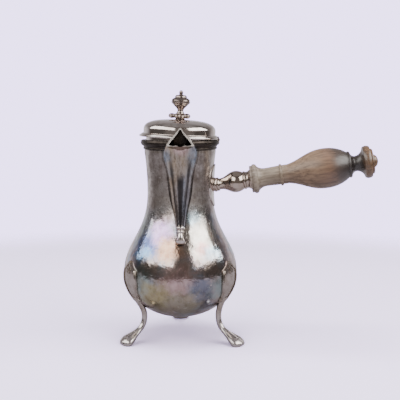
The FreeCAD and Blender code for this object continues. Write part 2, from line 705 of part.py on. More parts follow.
def grip_knob(outline):
    """Waist and end knob of the grip."""
    knob_start = KNOB_STATION - KNOB_THICKNESS / 2
    knob_end = KNOB_STATION + KNOB_THICKNESS / 2
    step_end = knob_end + KNOB_STEP_WIDTH
    edge = KNOB_RADIUS - KNOB_EDGE_RISE
    outline.curve(GRIP_WAIST_RADIUS, GRIP_WAIST_STATION, LEVEL, UPRIGHT)
    outline.curve(edge, knob_start, UPRIGHT, LEVEL)
    outline.bead(edge, knob_end, KNOB_EDGE_RISE)
    outline.line(KNOB_STEP_RADIUS, knob_end)
    outline.bead(KNOB_STEP_RADIUS - KNOB_STEP_RISE, step_end, KNOB_STEP_RISE)
    outline.line(NIPPLE_RADIUS, step_end)
    outline.curve(0, step_end + NIPPLE_LENGTH, ROUND_UP, ROUND_OUT)


def handle_grip():
    """Turned wooden grip with its tenon and end knob."""
    ring_end = GRIP_BULGE_END + GRIP_END_RING_WIDTH
    ring_rise = GRIP_END_RING_WIDTH / 4
    outline = Outline(0, SOCKET_END - TENON_LENGTH)
    outline.line(TENON_RADIUS, SOCKET_END - TENON_LENGTH)
    outline.line(TENON_RADIUS, SOCKET_END)
    grip_neck(outline)
    outline.curve(GRIP_BULGE_RADIUS, GRIP_BULGE_STATION, RISING, UPRIGHT)
    outline.curve(GRIP_END_RADIUS, GRIP_BULGE_END, UPRIGHT, SLANT)
    outline.bead(GRIP_END_RADIUS - ring_rise, ring_end, ring_rise)
    grip_knob(outline)
    turned = outline.spin().cut(handle_pin_bar(HANDLE_PIN_RADIUS))
    return only_solid(along_handle(turned))


def handle_pin():
    """Rivet through the socket and the tenon, dressed flush with the socket."""
    return only_solid(along_handle(handle_pin_bar(HANDLE_PIN_RADIUS).common(socket_form())))


def hinge_length():
    """Length of the hinge barrel."""
    return KNUCKLE_COUNT * KNUCKLE_WIDTH + (KNUCKLE_COUNT - 1) * KNUCKLE_GAP


def knuckles(first, hole, web_end):
    """Every second knuckle of the barrel, each with a web to its leaf."""
    shapes = []
    for index in range(first, KNUCKLE_COUNT, 2):
        start = index * (KNUCKLE_WIDTH + KNUCKLE_GAP) - hinge_length() / 2
        base = Vector(HINGE_REACH, start, HINGE_HEIGHT)
        barrel = cylinder(KNUCKLE_RADIUS, KNUCKLE_WIDTH, base, BACKWARD)
        low = Vector(HINGE_REACH - KNUCKLE_RADIUS / 2, start, min(HINGE_HEIGHT, web_end))
        high = Vector(HINGE_REACH + KNUCKLE_RADIUS / 2, start + KNUCKLE_WIDTH, max(HINGE_HEIGHT, web_end))
        shapes.append(barrel.fuse(block(low, high)))
    bore = cylinder(hole, hinge_length() * 2, Vector(HINGE_REACH, -hinge_length(), HINGE_HEIGHT), BACKWARD)
    return [shape.cut(bore) for shape in shapes]


def pot_hinge_leaf():
    """Leaf let into the mouth moulding, with the outer and middle knuckles."""
    top = HINGE_HEIGHT - KNUCKLE_RADIUS - HINGE_CLEARANCE
    low = Vector(MOUTH_RADIUS / 2, -hinge_length() / 2, top - LEAF_THICKNESS)
    high = Vector(BEYOND, hinge_length() / 2, top)
    leaf = collar_ring().common(block(low, high))
    return only_solid(leaf.fuse(knuckles(0, HINGE_PIN_RADIUS, top - LEAF_THICKNESS / 2)).removeSplitter())


def hinge_pin():
    """Pin through the barrel with a small head at each end."""
    half = hinge_length() / 2
    start = Vector(HINGE_REACH, -half, HINGE_HEIGHT)
    shape = cylinder(HINGE_PIN_RADIUS, half * 2, start, BACKWARD)
    for place in (-half - HINGE_PIN_HEAD_WIDTH, half):
        base = Vector(HINGE_REACH, place, HINGE_HEIGHT)
        shape = shape.fuse(cylinder(HINGE_PIN_HEAD, HINGE_PIN_HEAD_WIDTH, base, BACKWARD))
    return only_solid(shape.removeSplitter())


def shifted(shape):
    """Moves a round lid piece away from the hinge by the play in it."""
    moved = shape.copy()
    moved.translate(Vector(-LID_SHIFT, 0, 0))
    return moved


def raised(shape):
    """Swings a lid piece about the hinge pin to the slightly open pose."""
    swung = shape.copy()
    swung.rotate(Vector(HINGE_REACH, 0, HINGE_HEIGHT), BACKWARD, LID_AJAR)
    return swung


def lid_solid(inset):
    """The lid cap as a full solid, shrunk by an inset."""
    radius = LID_RADIUS - inset
    crown = CROWN_TOP - inset
    side = LID_FOOT + LID_SIDE_HEIGHT
    shoulder = (0, (LID_SHOULDER - inset) / (crown - side))
    dome = ((LID_CROWN_REACH - inset) / radius, 0)
    outline = Outline(0, LID_FOOT)
    outline.line(radius, LID_FOOT)
    outline.line(radius, side)
    outline.curve(0, crown, shoulder, dome)
    return outline.spin()


def stud_hole():
    """Upright hole for the stud of the finial."""
    return cylinder(STUD_RADIUS, BEYOND, Vector(0, 0, LID_FOOT), UP)


def lid_cap():
    """Raised cap with upright sides and a low crown."""
    return only_solid(lid_solid(0).cut([lid_solid(LID_WALL), stud_hole()]))


def flange_ring():
    """Whole stepped moulding round the foot of the lid."""
    lower = LID_FOOT + FLANGE_LOWER
    upper = lower + FLANGE_UPPER
    rise = FLANGE_LOWER / 4
    outline = Outline(LID_RADIUS, LID_FOOT)
    outline.line(FLANGE_RADIUS - rise, LID_FOOT)
    outline.bead(FLANGE_RADIUS - rise, lower, rise)
    outline.line(FLANGE_STEP_RADIUS, lower)
    outline.bead(LID_RADIUS + rise, upper, FLANGE_UPPER / 5)
    outline.line(LID_RADIUS, upper)
    return outline.spin()


def flange_notch(length, floor):
    """Room in the lid moulding for its hinge leaf."""
    low = Vector(LID_RADIUS / 2, -length, floor)
    return block(low, Vector(BEYOND, length, BEYOND))


def lid_moulding():
    """Stepped moulding of the lid, cut back at the hinge."""
    notch = flange_notch(LEAF_HALF_LENGTH, 0)
    return only_solid(shifted(flange_ring()).cut(notch))


def lid_hinge_leaf():
    """Leaf that completes the lid moulding over the barrel, with the other two knuckles."""
    floor = HINGE_HEIGHT + KNUCKLE_RADIUS + HINGE_CLEARANCE
    leaf = shifted(flange_ring()).common(flange_notch(LEAF_HALF_LENGTH, floor))
    parts = knuckles(1, HINGE_PIN_RADIUS + HINGE_FIT, floor + LEAF_THICKNESS / 2)
    return only_solid(leaf.fuse(parts).removeSplitter())


def lid_bezel():
    """Ring inside the lid that drops into the mouth."""
    outer = MOUTH_RADIUS - WALL - BEZEL_CLEARANCE
    inner = outer - BEZEL_WALL
    outline = Outline(inner, LID_FOOT - BEZEL_DEPTH)
    outline.line(outer, LID_FOOT - BEZEL_DEPTH)
    outline.line(outer, LID_FOOT)
    outline.line(LID_RADIUS - LID_WALL, LID_FOOT)
    outline.line(LID_RADIUS - LID_WALL, LID_FOOT + BEZEL_WALL)
    outline.line(inner, LID_FOOT + BEZEL_WALL)
    return only_solid(outline.spin())


def petal(index):
    """One rounded petal of the rosette."""
    middle = CROWN_TOP + PETAL_HEIGHT
    outline = Outline(0, middle - PETAL_THICKNESS / 2)
    outline.curve(PETAL_RADIUS, middle, ROUND_OUT, ROUND_UP)
    outline.curve(0, middle + PETAL_THICKNESS / 2, ROUND_UP, ROUND_OUT)
    shape = outline.spin()
    shape.translate(ACROSS * PETAL_REACH)
    shape.rotate(CENTRE, UP, PETAL_TURN + index * 360 / PETAL_COUNT)
    return shape


def finial_rosette():
    """Rosette of rounded petals on a small turned foot."""
    base = CROWN_TOP - LID_WALL
    collar = CROWN_TOP + ROSETTE_COLLAR_HEIGHT
    neck = CROWN_TOP + (ROSETTE_FOOT_HEIGHT + ROSETTE_COLLAR_HEIGHT) / 2
    middle = CROWN_TOP + PETAL_HEIGHT
    top = CROWN_TOP + ROSETTE_HEIGHT
    outline = Outline(0, base)
    outline.line(ROSETTE_FOOT_RADIUS, base)
    outline.line(ROSETTE_FOOT_RADIUS, CROWN_TOP + ROSETTE_FOOT_HEIGHT / 2)
    outline.bead(ROSETTE_NECK_RADIUS, neck, -ROSETTE_NECK_HOLLOW)
    outline.line(ROSETTE_COLLAR_RADIUS, collar)
    outline.line(ROSETTE_DISC_RADIUS, middle)
    outline.bead(KNOP_FOOT_RADIUS, top, ROSETTE_DISC_RISE)
    outline.line(0, top)
    petals = [petal(index) for index in range(PETAL_COUNT)]
    shape = outline.spin().fuse(petals)
    return only_solid(shape.cut([lid_solid(0), stud_hole()]))


def finial_knob():
    """Turned knob with a tip ball, and the stud that passes down through the lid."""
    foot = CROWN_TOP + ROSETTE_HEIGHT
    middle = CROWN_TOP + KNOP_HEIGHT
    under = middle - KNOP_HALF_THICKNESS
    over = middle + KNOP_HALF_THICKNESS
    edge = KNOP_RADIUS - KNOP_GROOVE
    tip_top = CROWN_TOP + FINIAL_HEIGHT
    outline = Outline(0, CROWN_TOP - STUD_REACH)
    outline.line(STUD_RADIUS, CROWN_TOP - STUD_REACH)
    outline.line(STUD_RADIUS, foot)
    outline.line(KNOP_FOOT_RADIUS, foot)
    outline.curve(STEM_RADIUS, CROWN_TOP + STEM_HEIGHT, SOFT, UPRIGHT)
    outline.curve(KNOP_UNDER_RADIUS, under, UPRIGHT, RISING)
    outline.bead(edge, middle - KNOP_GROOVE, KNOP_EDGE_RISE)
    outline.bead(edge, middle + KNOP_GROOVE, -KNOP_GROOVE)
    outline.bead(CAP_RADIUS - CAP_RISE, over, KNOP_EDGE_RISE)
    outline.line(CAP_RADIUS, over)
    outline.bead(CAP_RADIUS - CAP_SLOPE, over + CAP_THICKNESS, CAP_RISE)
    outline.curve(TIP_NECK_RADIUS, tip_top - TIP_RADIUS * 2, LEVEL, UPRIGHT)
    outline.curve(TIP_RADIUS, tip_top - TIP_RADIUS, ROUND_OUT, ROUND_UP)
    outline.curve(0, tip_top, ROUND_UP, ROUND_OUT)
    return only_solid(outline.spin())


def finial_nut():
    """Square nut under the crown that holds the finial."""
    top = CROWN_TOP - LID_WALL
    half = NUT_WIDTH / 2
    shape = block(Vector(-half, -half, top - NUT_THICKNESS), Vector(half, half, top))
    shape = shape.common(lid_solid(LID_WALL))
    return only_solid(shape.cut(stud_hole()))


def write(name, shape):
    """Writes one piece to its own file."""
    shape.exportStep(os.path.join("parts", name + ".step"))


def main():
    os.makedirs("parts", exist_ok=True)
    write("vessel", vessel())
    write("mouth_moulding", mouth_moulding())
    write("neck_wire", neck_wire())
    write("spout", spout())
    write("spout_drop", spout_drop())
    write("leg_front_left", leg(LEG_LEFT_TURN, LEG_LEFT_REACH))
    write("leg_front_right", leg(LEG_RIGHT_TURN, LEG_RIGHT_REACH))
    write("leg_back", leg(LEG_BACK_TURN, LEG_BACK_REACH))
    write("socket_plate", socket_plate())
    write("handle_socket", handle_socket())
    write("handle_grip", handle_grip())
    write("handle_pin", handle_pin())
    write("pot_hinge_leaf", pot_hinge_leaf())
    write("hinge_pin", hinge_pin())
    write("lid_cap", raised(shifted(lid_cap())))
    write("lid_moulding", raised(lid_moulding()))
    write("lid_bezel", raised(shifted(lid_bezel())))
    write("lid_hinge_leaf", raised(lid_hinge_leaf()))
    write("finial_rosette", raised(shifted(finial_rosette())))
    write("finial_knob", raised(shifted(finial_knob())))
    write("finial_nut", raised(shifted(finial_nut())))


main()
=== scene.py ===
"""Looks of a pear-shaped silver coffee pot with a hooded spout, three legs and a wooden side handle."""

import logging
import math
from dataclasses import dataclass, field
from enum import Enum
from typing import Any

import bmesh
import bpy
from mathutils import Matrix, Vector


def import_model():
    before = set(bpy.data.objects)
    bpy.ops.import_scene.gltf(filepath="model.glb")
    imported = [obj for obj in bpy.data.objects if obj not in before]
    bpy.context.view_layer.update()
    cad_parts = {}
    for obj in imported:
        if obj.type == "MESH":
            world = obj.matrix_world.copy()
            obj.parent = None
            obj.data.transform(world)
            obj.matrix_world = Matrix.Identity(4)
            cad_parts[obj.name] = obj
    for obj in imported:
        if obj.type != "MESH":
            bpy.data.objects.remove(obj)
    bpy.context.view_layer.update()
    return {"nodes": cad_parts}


LOG = logging.getLogger("coffee_pot")
SHELTER_SAMPLES = 8
FLOOR_SEGMENTS = 96
Colour = tuple[float, float, float]
Stop = tuple[float, Colour]


class Finish(Enum):
    """Finishes of the pieces."""

    RAISED = "raised"
    SPOUT = "spout"
    BRIGHT = "bright"
    COLLAR = "collar"
    CAST = "cast"
    TURNED = "turned"
    KNOB = "knob"
    WOOD = "wood"


@dataclass(frozen=True)
class Grain:
    """A noise: its features per metre, the number of finer layers and the share that each of them keeps."""

    scale: float
    detail: float
    rough: float


@dataclass(frozen=True)
class Fade:
    """A smooth change between two values, and what it gives at each of them."""

    low: float
    high: float
    start: float = 0.0
    end: float = 1.0


@dataclass(frozen=True)
class Relief:
    """Small bumps of a surface: their pattern and their depth in metres."""

    grain: Grain
    depth: float


class NodeSheet:
    """A node tree that is filled from the left to the right."""

    def __init__(self, tree: bpy.types.NodeTree) -> None:
        """Empties the tree.

        Args:
            tree: Node tree of a material or a world.
        """
        self.tree = tree
        tree.nodes.clear()

    def add(self, kind: str, inputs: dict[str | int, Any] | None = None, **settings: Any) -> bpy.types.Node:
        """Adds a node, sets its options and fills or links its inputs.

        Args:
            kind: Blender's name of the node type.
            inputs: Values or output sockets by input name or number.
            **settings: Options of the node itself.

        Returns:
            The new node.
        """
        node = self.tree.nodes.new(kind)
        for name, value in settings.items():
            setattr(node, name, value)
        for key, value in (inputs or {}).items():
            if isinstance(value, bpy.types.NodeSocket):
                self.tree.links.new(value, node.inputs[key])
            else:
                node.inputs[key].default_value = value
        return node

    def math(self, operation: str, *values: Any) -> bpy.types.NodeSocket:
        """Adds a sum, a product or the like of numbers and sockets.

        Args:
            operation: Blender's name of the operation.
            *values: Its inputs in order.

        Returns:
            The socket of the result.
        """
        return self.add("ShaderNodeMath", dict(enumerate(values)), operation=operation).outputs[0]

    def vector(self, operation: str, *values: Any) -> Any:
        """Adds a sum, a distance or the like of places.

        Args:
            operation: Blender's name of the operation.
            *values: Its inputs in order.

        Returns:
            The node's outputs.
        """
        return self.add("ShaderNodeVectorMath", dict(enumerate(values)), operation=operation).outputs

    def axes(self, place: Any) -> Any:
        """Gives the outputs X, Y and Z of a place."""
        return self.add("ShaderNodeSeparateXYZ", {"Vector": place}).outputs

    def span(self, value: Any, fade: Fade) -> bpy.types.NodeSocket:
        """Maps a value from one stretch to another, smoothly and clamped.

        Args:
            value: Socket to map.
            fade: The two stretches.

        Returns:
            The socket of the result.
        """
        inputs = {"Value": value, "From Min": fade.low, "From Max": fade.high,
                  "To Min": fade.start, "To Max": fade.end}
        return self.add("ShaderNodeMapRange", inputs, interpolation_type="SMOOTHSTEP").outputs["Result"]

    def noise(self, place: Any, grain: Grain) -> bpy.types.NodeSocket:
        """Adds a noise pattern.

        Args:
            place: Socket of the coordinates in metres.
            grain: Size and layers of the pattern.

        Returns:
            The socket of its strength.
        """
        inputs = {"Vector": place, "Scale": grain.scale, "Detail": grain.detail, "Roughness": grain.rough}
        return self.add("ShaderNodeTexNoise", inputs).outputs["Fac"]

    def shelter(self, distance: float) -> bpy.types.NodeSocket:
        """Tells corners from open surface.

        Args:
            distance: How far a corner is felt, in metres.

        Returns:
            The socket of the openness, from 0 to 1.
        """
        inputs = {"Distance": distance}
        return self.add("ShaderNodeAmbientOcclusion", inputs, samples=SHELTER_SAMPLES).outputs["AO"]

    def ramp(self, value: Any, stops: tuple[Stop, ...]) -> bpy.types.NodeSocket:
        """Adds a colour ramp.

        Args:
            value: Socket that runs along the ramp.
            stops: Places and colours in order.

        Returns:
            The socket of the colour.
        """
        node = self.add("ShaderNodeValToRGB", {"Fac": value})
        elements = node.color_ramp.elements
        while len(elements) < len(stops):
            elements.new(1.0)
        for element, (place, colour) in zip(elements, stops):
            element.position = place
            element.color = (*colour, 1.0)
        return node.outputs["Color"]

    def mix(self, share: Any, first: Any, second: Any, blend: str = "MIX") -> bpy.types.NodeSocket:
        """Mixes two colours.

        Args:
            share: How much of the second shows.
            first: Colour or socket.
            second: Colour or socket.
            blend: Blender's name of the way they mix.

        Returns:
            The socket of the mixed colour.
        """
        node = self.add("ShaderNodeMix", data_type="RGBA", blend_type=blend, clamp_factor=True)
        for socket, value in ((node.inputs[0], share), (node.inputs[6], first), (node.inputs[7], second)):
            if isinstance(value, bpy.types.NodeSocket):
                self.tree.links.new(value, socket)
            else:
                socket.default_value = (*value, 1.0) if isinstance(value, tuple) else value
        return node.outputs[2]

    def place(self, location: Colour = (0, 0, 0), rotation: Colour = (0, 0, 0),
              scale: Colour = (1, 1, 1)) -> bpy.types.NodeSocket:
        """Gives Object coordinates as seen from a place on the piece.

        Args:
            location: Where the pattern is centred, in metres.
            rotation: How the pattern is turned, in radians.
            scale: How far the pattern is stretched.

        Returns:
            The socket of the coordinates.
        """
        coordinates = self.add("ShaderNodeTexCoord").outputs["Object"]
        inputs = {"Vector": coordinates, "Location": location, "Rotation": rotation, "Scale": scale}
        return self.add("ShaderNodeMapping", inputs, vector_type="TEXTURE").outputs["Vector"]

    def bump(self, height: Any, distance: float, strength: float, under: Any = None) -> bpy.types.NodeSocket:
        """Adds a fine relief.

        Args:
            height: Socket of the relief.
            distance: Depth of the relief in metres.
            strength: Share of the relief that shows.
            under: Socket of a coarser relief below it.

        Returns:
            The socket of the normal.
        """
        inputs = {"Height": height, "Distance": distance, "Strength": strength}
        if under is not None:
            inputs["Normal"] = under
        return self.add("ShaderNodeBump", inputs).outputs["Normal"]


def new_sheet(name: str) -> tuple[bpy.types.Material, NodeSheet]:
    """Starts an empty material.

    Args:
        name: Name of the material.

    Returns:
        The material and its sheet of nodes.
    """
    material = bpy.data.materials.new(name)
    material.use_nodes = True
    return material, NodeSheet(material.node_tree)


def show(sheet: NodeSheet, inputs: dict[str | int, Any]) -> None:
    """Closes a material with its surface shader.

    Args:
        sheet: Nodes of the material.
        inputs: Values and sockets of the surface.
    """
    shader = sheet.add("ShaderNodeBsdfPrincipled", inputs)
    sheet.add("ShaderNodeOutputMaterial", {"Surface": shader.outputs["BSDF"]})


@dataclass(frozen=True)
class Bloom:
    """A soft-edged stain of the sulphide film round a point of the surface."""

    centre: Colour
    radius: float
    colour: Colour
    strength: float = 1.0


@dataclass(frozen=True)
class FluteSoilAndShade:
    """Dark grime and painted shade in flutes that fan out upwards, by the share of the half-width at each
    height.
    """

    foot: float
    foot_half_width: float
    spread: float
    fade: Fade
    shares: tuple[tuple[float, float], ...]

    def share(self, sheet: NodeSheet, place: Any) -> bpy.types.NodeSocket:
        """How much of the grime and painted shade shows.

        Args:
            sheet: Nodes of the material.
            place: Socket of the coordinates.

        Returns:
            The socket of the share.
        """
        axes = sheet.axes(place)
        rise = sheet.math("MULTIPLY", sheet.math("SUBTRACT", axes["Z"], self.foot), self.spread)
        across = sheet.math("DIVIDE", axes["X"], sheet.math("ADD", rise, self.foot_half_width))
        stops = tuple((station, (strength,) * 3) for station, strength in self.shares)
        dark = sheet.ramp(sheet.math("ABSOLUTE", across), stops)
        return sheet.math("MULTIPLY", dark, sheet.span(axes["Z"], self.fade))


@dataclass(frozen=True)
class RubbedEdge:
    """Silver rubbed bright along an edge that lies in one plane."""

    point: Colour
    normal: Colour
    width: float
    colour: Colour
    rough: float
    core: float = 0.25

    def share(self, sheet: NodeSheet, place: Any) -> bpy.types.NodeSocket:
        """How much of the rubbed silver shows.

        Args:
            sheet: Nodes of the material.
            place: Socket of the coordinates.

        Returns:
            The socket of the share.
        """
        offset = sheet.vector("SUBTRACT", place, self.point)["Vector"]
        depth = sheet.vector("DOT_PRODUCT", offset, self.normal)["Value"]
        return sheet.span(depth, Fade(-self.width, -self.width * self.core))


@dataclass(frozen=True)
class TarnishedSilver:
    """Old raised silver: a mottled grey-brown skin, and low down the colours of a thin sulphide film."""

    name: str
    clean: Colour
    dull: Colour
    film_top: float
    film_fade: float
    film_stops: tuple[Stop, ...]
    film_stretch: float
    blooms: tuple[Bloom, ...]
    rough_film: float
    rough_skin: float
    streak_share: float
    streaks: Grain
    dents: float
    seam_shade_strength: float = 0.9
    fleck: Colour = (0.86, 0.82, 0.80)
    # Near-black colour for tarnish and painted shade in hollows, seams and flutes.
    tarnish_and_shade: Colour = (0.020, 0.016, 0.014)
    flute_soil_and_shade: tuple[FluteSoilAndShade, ...] = ()
    edge: RubbedEdge | None = None
    streak_length: float = 7.0
    mottle: Grain = Grain(95.0, 8.0, 0.68)
    mottle_clean: Fade = Fade(0.38, 0.62)
    mottle_dull: Fade = Fade(0.36, 0.58, 0.55, 0.0)
    mottle_rough: Fade = Fade(0.35, 0.65, 0.08, -0.03)
    film_share: float = 0.88
    film_cloud: Grain = Grain(30.0, 4.0, 0.55)
    film_fray: Grain = Grain(120.0, 6.0, 0.68)
    film_veins: Grain = Grain(85.0, 5.0, 0.6)
    vein_share: float = 0.12
    bloom_fray: float = 1.9
    bloom_edge: tuple[float, float] = (1.40, 0.50)
    patches: Grain = Grain(260.0, 5.0, 0.66)
    patch_dull: Fade = Fade(0.54, 0.68, 0.0, 0.45)
    patch_bright: Fade = Fade(0.38, 0.28, 0.0, 0.6)
    specks: Grain = Grain(800.0, 4.0, 0.65)
    speck_dull: Fade = Fade(0.60, 0.70, 0.0, 0.5)
    # Ambient occlusion reach and fades of the painted shade, with tarnish, in hollows and seams.
    hollow_reach: float = 0.025
    hollow_tarnish_and_shade: Fade = Fade(0.52, 0.22)
    seam_reach: float = 0.0022
    seam_open: float = 0.86
    seam_closed: float = 0.60
    broad_dents: Relief = Relief(Grain(42.0, 2.0, 0.5), 0.0016)
    fine_dents: Relief = Relief(Grain(170.0, 3.0, 0.55), 0.0006)
    pits: Relief = Relief(Grain(330.0, 3.0, 0.6), 0.0003)
    pit_edge: Fade = Fade(0.58, 0.76)
    pit_strength: float = 0.22

    def build(self) -> bpy.types.Material:
        """Makes the material.

        Returns:
            The material.
        """
        material, sheet = new_sheet(self.name)
        place = sheet.place()
        cloud = self.cloud(sheet, place)
        edges = Fade(self.film_top + self.film_fade, self.film_top - self.film_fade)
        low = sheet.span(sheet.axes(place)["Z"], edges)
        colour = sheet.mix(sheet.span(cloud, self.mottle_clean), self.dull, self.clean)
        colour = sheet.mix(sheet.math("MULTIPLY", low, self.film_share), colour, self.film(sheet, place))
        colour = sheet.mix(sheet.span(cloud, self.mottle_dull), colour, self.dull, "MULTIPLY")
        colour = self.soil_and_shade(sheet, place, colour)
        skin = sheet.span(low, Fade(0.0, 1.0, self.rough_skin, self.rough_film))
        rough = sheet.math("ADD", skin, sheet.span(cloud, self.mottle_rough))
        if self.edge:
            rubbed = self.edge.share(sheet, place)
            colour = sheet.mix(rubbed, colour, self.edge.colour)
            rough = sheet.math("ADD", rough, sheet.math("MULTIPLY", rubbed, self.edge.rough))
        show(sheet, {"Base Color": colour, "Metallic": 1.0, "Roughness": rough,
                     "Normal": self.relief(sheet, place)})
        return material

    def cloud(self, sheet: NodeSheet, place: Any) -> bpy.types.NodeSocket:
        """Mottling of the skin, partly drawn out into upright streaks.

        Args:
            sheet: Nodes of the material.
            place: Socket of the coordinates.

        Returns:
            The socket of its strength.
        """
        drawn = sheet.place(scale=(1.0, 1.0, self.streak_length))
        mottle = sheet.math("MULTIPLY", sheet.noise(place, self.mottle), 1.0 - self.streak_share)
        streaks = sheet.math("MULTIPLY", sheet.noise(drawn, self.streaks), self.streak_share)
        return sheet.math("ADD", mottle, streaks)

    def film(self, sheet: NodeSheet, place: Any) -> bpy.types.NodeSocket:
        """Colours of the thin film.

        Args:
            sheet: Nodes of the material.
            place: Socket of the coordinates.

        Returns:
            The socket of the colour.
        """
        drawn = sheet.place(scale=(1.0, 1.0, self.film_stretch))
        colour = sheet.ramp(sheet.noise(drawn, self.film_cloud), self.film_stops)
        frayed = sheet.math("SUBTRACT", sheet.noise(drawn, self.film_fray), 0.5)
        for bloom in self.blooms:
            reach = sheet.vector("DISTANCE", place, bloom.centre)["Value"]
            share = sheet.math("DIVIDE", reach, bloom.radius)
            share = sheet.math("ADD", share, sheet.math("MULTIPLY", frayed, self.bloom_fray))
            edge = Fade(*self.bloom_edge, 0.0, bloom.strength)
            colour = sheet.mix(sheet.span(share, edge), colour, bloom.colour)
        veins = sheet.ramp(sheet.noise(drawn, self.film_veins), self.film_stops)
        return sheet.mix(self.vein_share, colour, veins)

    def soil_and_shade(self, sheet: NodeSheet, place: Any, colour: Any) -> bpy.types.NodeSocket:
        """Adds patches and specks, and darkens hollows, seams and flutes with tarnish and painted shade.

        Args:
            sheet: Nodes of the material.
            place: Socket of the coordinates.
            colour: Socket of the colour below the dirt.

        Returns:
            The socket of the colour.
        """
        patches = sheet.noise(place, self.patches)
        colour = sheet.mix(sheet.span(patches, self.patch_dull), colour, self.dull)
        colour = sheet.mix(sheet.span(patches, self.patch_bright), colour, self.fleck)
        colour = sheet.mix(sheet.span(sheet.noise(place, self.specks), self.speck_dull), colour, self.dull)
        # Painted shade: ambient occlusion darkens hollows and seams towards near black, for the shade there
        # as well as their tarnish.
        colour = sheet.mix(sheet.span(sheet.shelter(self.hollow_reach), self.hollow_tarnish_and_shade), colour, self.tarnish_and_shade)
        seam_tarnish_and_shade = Fade(self.seam_open, self.seam_closed, 0.0, self.seam_shade_strength)
        colour = sheet.mix(sheet.span(sheet.shelter(self.seam_reach), seam_tarnish_and_shade), colour, self.tarnish_and_shade)
        # Painted shade: the spout's flute valleys and outer edges are darkened, together with their grime.
        for flutes in self.flute_soil_and_shade:
            colour = sheet.mix(flutes.share(sheet, place), colour, self.tarnish_and_shade)
        return colour

    def relief(self, sheet: NodeSheet, place: Any) -> bpy.types.NodeSocket:
        """Hammer marks, small dents and pits.

        Args:
            sheet: Nodes of the material.
            place: Socket of the coordinates.

        Returns:
            The socket of the normal.
        """
        normal = None
        for dents in (self.broad_dents, self.fine_dents):
            normal = sheet.bump(sheet.noise(place, dents.grain), dents.depth, self.dents, normal)
        pits = sheet.span(sheet.noise(place, self.pits.grain), self.pit_edge)
        return sheet.bump(pits, self.pits.depth, self.pit_strength, normal)


RAISED_BODY = TarnishedSilver(
    name="tarnished_silver_surface",
    clean=(0.66, 0.615, 0.59),
    dull=(0.36, 0.315, 0.29),
    film_top=0.114,
    film_fade=0.014,
    film_stops=(
        (0.30, (0.42, 0.40, 0.26)), (0.40, (0.56, 0.45, 0.40)), (0.48, (0.58, 0.48, 0.50)),
        (0.56, (0.40, 0.45, 0.56)), (0.66, (0.36, 0.45, 0.44)), (0.76, (0.54, 0.52, 0.44))),
    film_stretch=1.0,
    blooms=(
        Bloom((-0.028, -0.036, 0.090), 0.017, (0.05, 0.13, 0.44)),
        Bloom((-0.035, -0.036, 0.079), 0.011, (0.16, 0.40, 0.74)),
        Bloom((-0.018, -0.036, 0.100), 0.012, (0.74, 0.48, 1.00)),
        Bloom((-0.009, -0.044, 0.085), 0.013, (0.84, 0.50, 0.32)),
        Bloom((0.018, -0.036, 0.098), 0.018, (0.95, 0.90, 0.82)),
        Bloom((0.021, -0.040, 0.087), 0.007, (0.95, 0.58, 0.56)),
        Bloom((0.011, -0.033, 0.115), 0.009, (0.34, 0.66, 0.86)),
        Bloom((0.029, -0.036, 0.079), 0.010, (0.60, 0.82, 1.00)),
        Bloom((0.0, -0.052, 0.071), 0.012, (0.52, 0.43, 0.38)),
        Bloom((-0.028, -0.042, 0.068), 0.012, (0.50, 0.42, 0.37)),
        Bloom((0.028, -0.042, 0.068), 0.012, (0.52, 0.43, 0.38)),
        Bloom((-0.033, -0.036, 0.055), 0.015, (0.38, 0.50, 0.47)),
        Bloom((-0.004, -0.050, 0.057), 0.018, (0.68, 0.48, 0.46)),
        Bloom((0.018, -0.045, 0.049), 0.014, (0.12, 0.16, 0.25)),
        Bloom((0.035, -0.034, 0.052), 0.012, (0.32, 0.42, 0.42)),
        Bloom((-0.020, -0.041, 0.043), 0.016, (0.46, 0.41, 0.20)),
        Bloom((0.002, -0.040, 0.037), 0.016, (0.36, 0.32, 0.22))),
    rough_film=0.13,
    rough_skin=0.30,
    streak_share=0.32,
    streaks=Grain(260.0, 6.0, 0.66),
    dents=0.42)

FLUTED_SPOUT = TarnishedSilver(
    name="spout_silver_surface",
    clean=(0.58, 0.52, 0.46),
    dull=(0.26, 0.22, 0.19),
    film_top=1.0,
    film_fade=0.1,
    film_stops=(
        (0.34, (0.38, 0.33, 0.22)), (0.44, (0.56, 0.46, 0.34)), (0.52, (0.36, 0.35, 0.35)),
        (0.60, (0.34, 0.39, 0.46)), (0.70, (0.50, 0.43, 0.36))),
    film_stretch=5.0,
    blooms=(
        Bloom((0.0, -0.045, 0.157), 0.013, (0.46, 0.38, 0.26), 0.55),
        Bloom((-0.0135, -0.041, 0.166), 0.009, (0.30, 0.42, 0.55), 0.9),
        Bloom((0.0135, -0.041, 0.166), 0.009, (0.30, 0.42, 0.55), 0.9),
        Bloom((-0.0115, -0.039, 0.153), 0.008, (0.40, 0.47, 0.52), 0.7),
        Bloom((0.0115, -0.039, 0.153), 0.008, (0.40, 0.47, 0.52), 0.7),
        Bloom((0.0, -0.051, 0.172), 0.006, (0.78, 0.58, 0.56))),
    rough_film=0.17,
    rough_skin=0.17,
    streak_share=0.8,
    streaks=Grain(520.0, 6.0, 0.66),
    dents=0.12,
    seam_shade_strength=0.3,
    # Painted shade in the flute valleys of the spout's stem and beak, with their grime.
    flute_soil_and_shade=(
        FluteSoilAndShade(0.109, 0.0046, 0.165, Fade(0.154, 0.143), (
            (0.00, 0.92), (0.20, 0.84), (0.31, 0.06), (0.40, 0.0))),
        FluteSoilAndShade(0.109, 0.0046, 0.165, Fade(0.171, 0.152), (
            (0.42, 0.0), (0.54, 0.80), (0.66, 0.85), (0.74, 0.10), (0.84, 0.0), (0.93, 0.35), (1.00, 0.85)))),
    edge=RubbedEdge((0.0, -0.0515, 0.1728), (0.0, -0.861, 0.509), 0.0003, (0.92, 0.87, 0.82), 0.20))


